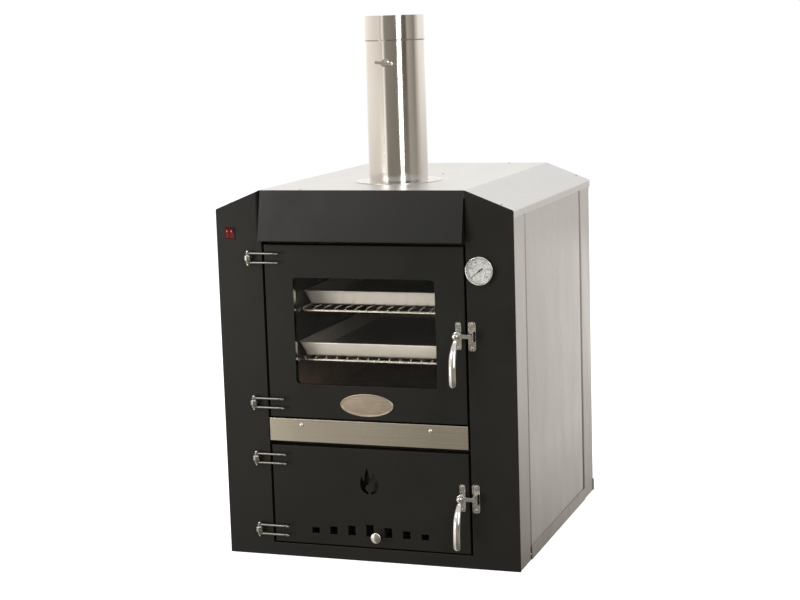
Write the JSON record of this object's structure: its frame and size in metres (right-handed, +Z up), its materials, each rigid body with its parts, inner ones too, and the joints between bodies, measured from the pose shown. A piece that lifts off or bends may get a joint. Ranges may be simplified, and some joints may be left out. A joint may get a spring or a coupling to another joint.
{
  "type": "built-in wood-fired oven",
  "caption": "Indirect wood-fired oven with a glazed cooking chamber over a firebox, hinged latched doors, air slide and damped flue pipe.",
  "frame": {"origin": "centre of the casing's base, on the floor", "axes": "+Z up, front (doors) faces -Y, +X to the right as seen from the front"},
  "size_m": [0.77, 0.8738, 1.349],
  "materials": {
    "galvanised": "satin",
    "zinc_screw": "satin",
    "black_enamel": "satin",
    "brushed_stainless": "brushed",
    "heat_paint": "matte",
    "chamber_steel": "matte",
    "rail_steel": "satin",
    "liner_stainless": "satin",
    "firebrick": "matte",
    "cast_iron": "rough",
    "mineral_wool": "matte",
    "polished_stainless": "polished",
    "chrome": "polished",
    "dial_white": "matte",
    "clear_glass": "polished",
    "ceramic_glass": "polished",
    "black_plastic": "satin",
    "red_plastic": "gloss",
    "needle_black": "matte",
    "lamp_ceramic": "satin",
    "motor_steel": "satin",
    "rack_wire": "satin",
    "tray_steel": "satin",
    "rope_gasket": "matte",
    "plaque_metal": "satin"
  },
  "bodies": {
    "oven": {"base_tray": "galvanised", "corner_posts": "galvanised", "left_side_panel": "galvanised", "right_side_panel": "galvanised", "rear_panel": "galvanised", "top_cover": "galvanised", "casing_screws": "zinc_screw", "front_left_panel": "black_enamel", "front_right_panel": "black_enamel", "hood_panel": "black_enamel", "sill_strip": "brushed_stainless", "bottom_plinth": "black_enamel", "front_bulkhead": "heat_paint", "cooking_chamber": "chamber_steel", "rack_rails": "rail_steel", "smoke_jacket": "chamber_steel", "firebox_deck": "chamber_steel", "firebricks": "firebrick", "fire_grate": "cast_iron", "insulation_wool": "mineral_wool", "flue_pipe": "polished_stainless", "flue_collar": "polished_stainless", "hinge_posts": "chrome", "hinge_pins": "chrome", "latch_keepers": "chrome", "thermometer_case": "chrome", "thermometer_dial": "dial_white", "thermometer_glass": "clear_glass", "switch_housing": "black_plastic", "oven_lamp": "lamp_ceramic", "fan_motor": "motor_steel", "cable_gland": "black_plastic"},
    "fan": {"fan_impeller": "motor_steel"},
    "needle": {"thermometer_needle": "needle_black"},
    "light_rocker": {"light_rocker": "red_plastic"},
    "fan_rocker": {"fan_rocker": "red_plastic"},
    "damper": {"damper_disc": "polished_stainless", "damper_spindle": "chrome"},
    "ash_drawer": {"ash_drawer": "chamber_steel"},
    "upper_rack": {"upper_rack": "rack_wire"},
    "upper_tray": {"upper_tray": "tray_steel"},
    "lower_rack": {"lower_rack": "rack_wire"},
    "lower_tray": {"lower_tray": "tray_steel"},
    "upper_door": {"upper_door_skin": "black_enamel", "upper_door_glass": "ceramic_glass", "upper_door_liner": "liner_stainless", "upper_door_gasket": "rope_gasket", "nameplate": "plaque_metal", "upper_hinge_arms": "chrome", "upper_latch_base": "chrome"},
    "upper_latch": {"upper_latch_lever": "chrome"},
    "lower_door": {"lower_door_skin": "black_enamel", "lower_door_liner": "liner_stainless", "lower_door_gasket": "rope_gasket", "lower_hinge_arms": "chrome", "lower_latch_base": "chrome"},
    "lower_latch": {"lower_latch_lever": "chrome"},
    "air_slide": {"air_slide_plate": "heat_paint", "air_slide_knob": "chrome"}
  },
  "joints": [
    {"name": "upper_door_hinge", "type": "hinge", "parent": "oven", "child": "upper_door", "pos_m": [-0.2985, -0.407, 0.5805], "axis": [0, 0, -1], "range_deg": [0, 165]},
    {"name": "lower_door_hinge", "type": "hinge", "parent": "oven", "child": "lower_door", "pos_m": [-0.2985, -0.407, 0.16125], "axis": [0, 0, -1], "range_deg": [0, 165]},
    {"name": "upper_latch_turn", "type": "hinge", "parent": "upper_door", "child": "upper_latch", "pos_m": [0.2424, -0.4165, 0.583], "axis": [0, 1, 0], "range_deg": [0, 75]},
    {"name": "lower_latch_turn", "type": "hinge", "parent": "lower_door", "child": "lower_latch", "pos_m": [0.2424, -0.4165, 0.181], "axis": [0, 1, 0], "range_deg": [0, 75]},
    {"name": "air_slide_travel", "type": "slide", "parent": "lower_door", "child": "air_slide", "axis": [-1, 0, 0], "range_m": [0, 0.024]},
    {"name": "damper_turn", "type": "hinge", "parent": "oven", "child": "damper", "pos_m": [0.013, -0.139, 1.232], "axis": [0, 1, 0], "range_deg": [-7, 83]},
    {"name": "light_rocker_tilt", "type": "hinge", "parent": "oven", "child": "light_rocker", "pos_m": [-0.3552, -0.395, 0.8245], "axis": [-1, 0, 0], "range_deg": [0, 16]},
    {"name": "fan_rocker_tilt", "type": "hinge", "parent": "oven", "child": "fan_rocker", "pos_m": [-0.3436, -0.395, 0.8245], "axis": [-1, 0, 0], "range_deg": [0, 16]},
    {"name": "needle_turn", "type": "hinge", "parent": "oven", "child": "needle", "pos_m": [0.3, -0.401, 0.74], "axis": [0, 1, 0], "range_deg": [0, 262]},
    {"name": "fan_spin", "type": "hinge", "parent": "oven", "child": "fan", "pos_m": [0, 0.3, 0.565], "axis": [0, 1, 0], "continuous": true},
    {"name": "upper_rack_slide", "type": "slide", "parent": "oven", "child": "upper_rack", "axis": [0, -1, 0], "range_m": [0, 0.02]},
    {"name": "lower_rack_slide", "type": "slide", "parent": "oven", "child": "lower_rack", "axis": [0, -1, 0], "range_m": [0, 0.02]},
    {"name": "upper_tray_lift", "type": "slide", "parent": "upper_rack", "child": "upper_tray", "axis": [0, 0, 1], "range_m": [0, 0.03]},
    {"name": "lower_tray_lift", "type": "slide", "parent": "lower_rack", "child": "lower_tray", "axis": [0, 0, 1], "range_m": [0, 0.03]},
    {"name": "ash_drawer_slide", "type": "slide", "parent": "oven", "child": "ash_drawer", "axis": [0, -1, 0], "range_m": [0, 0.012]}
  ]
}
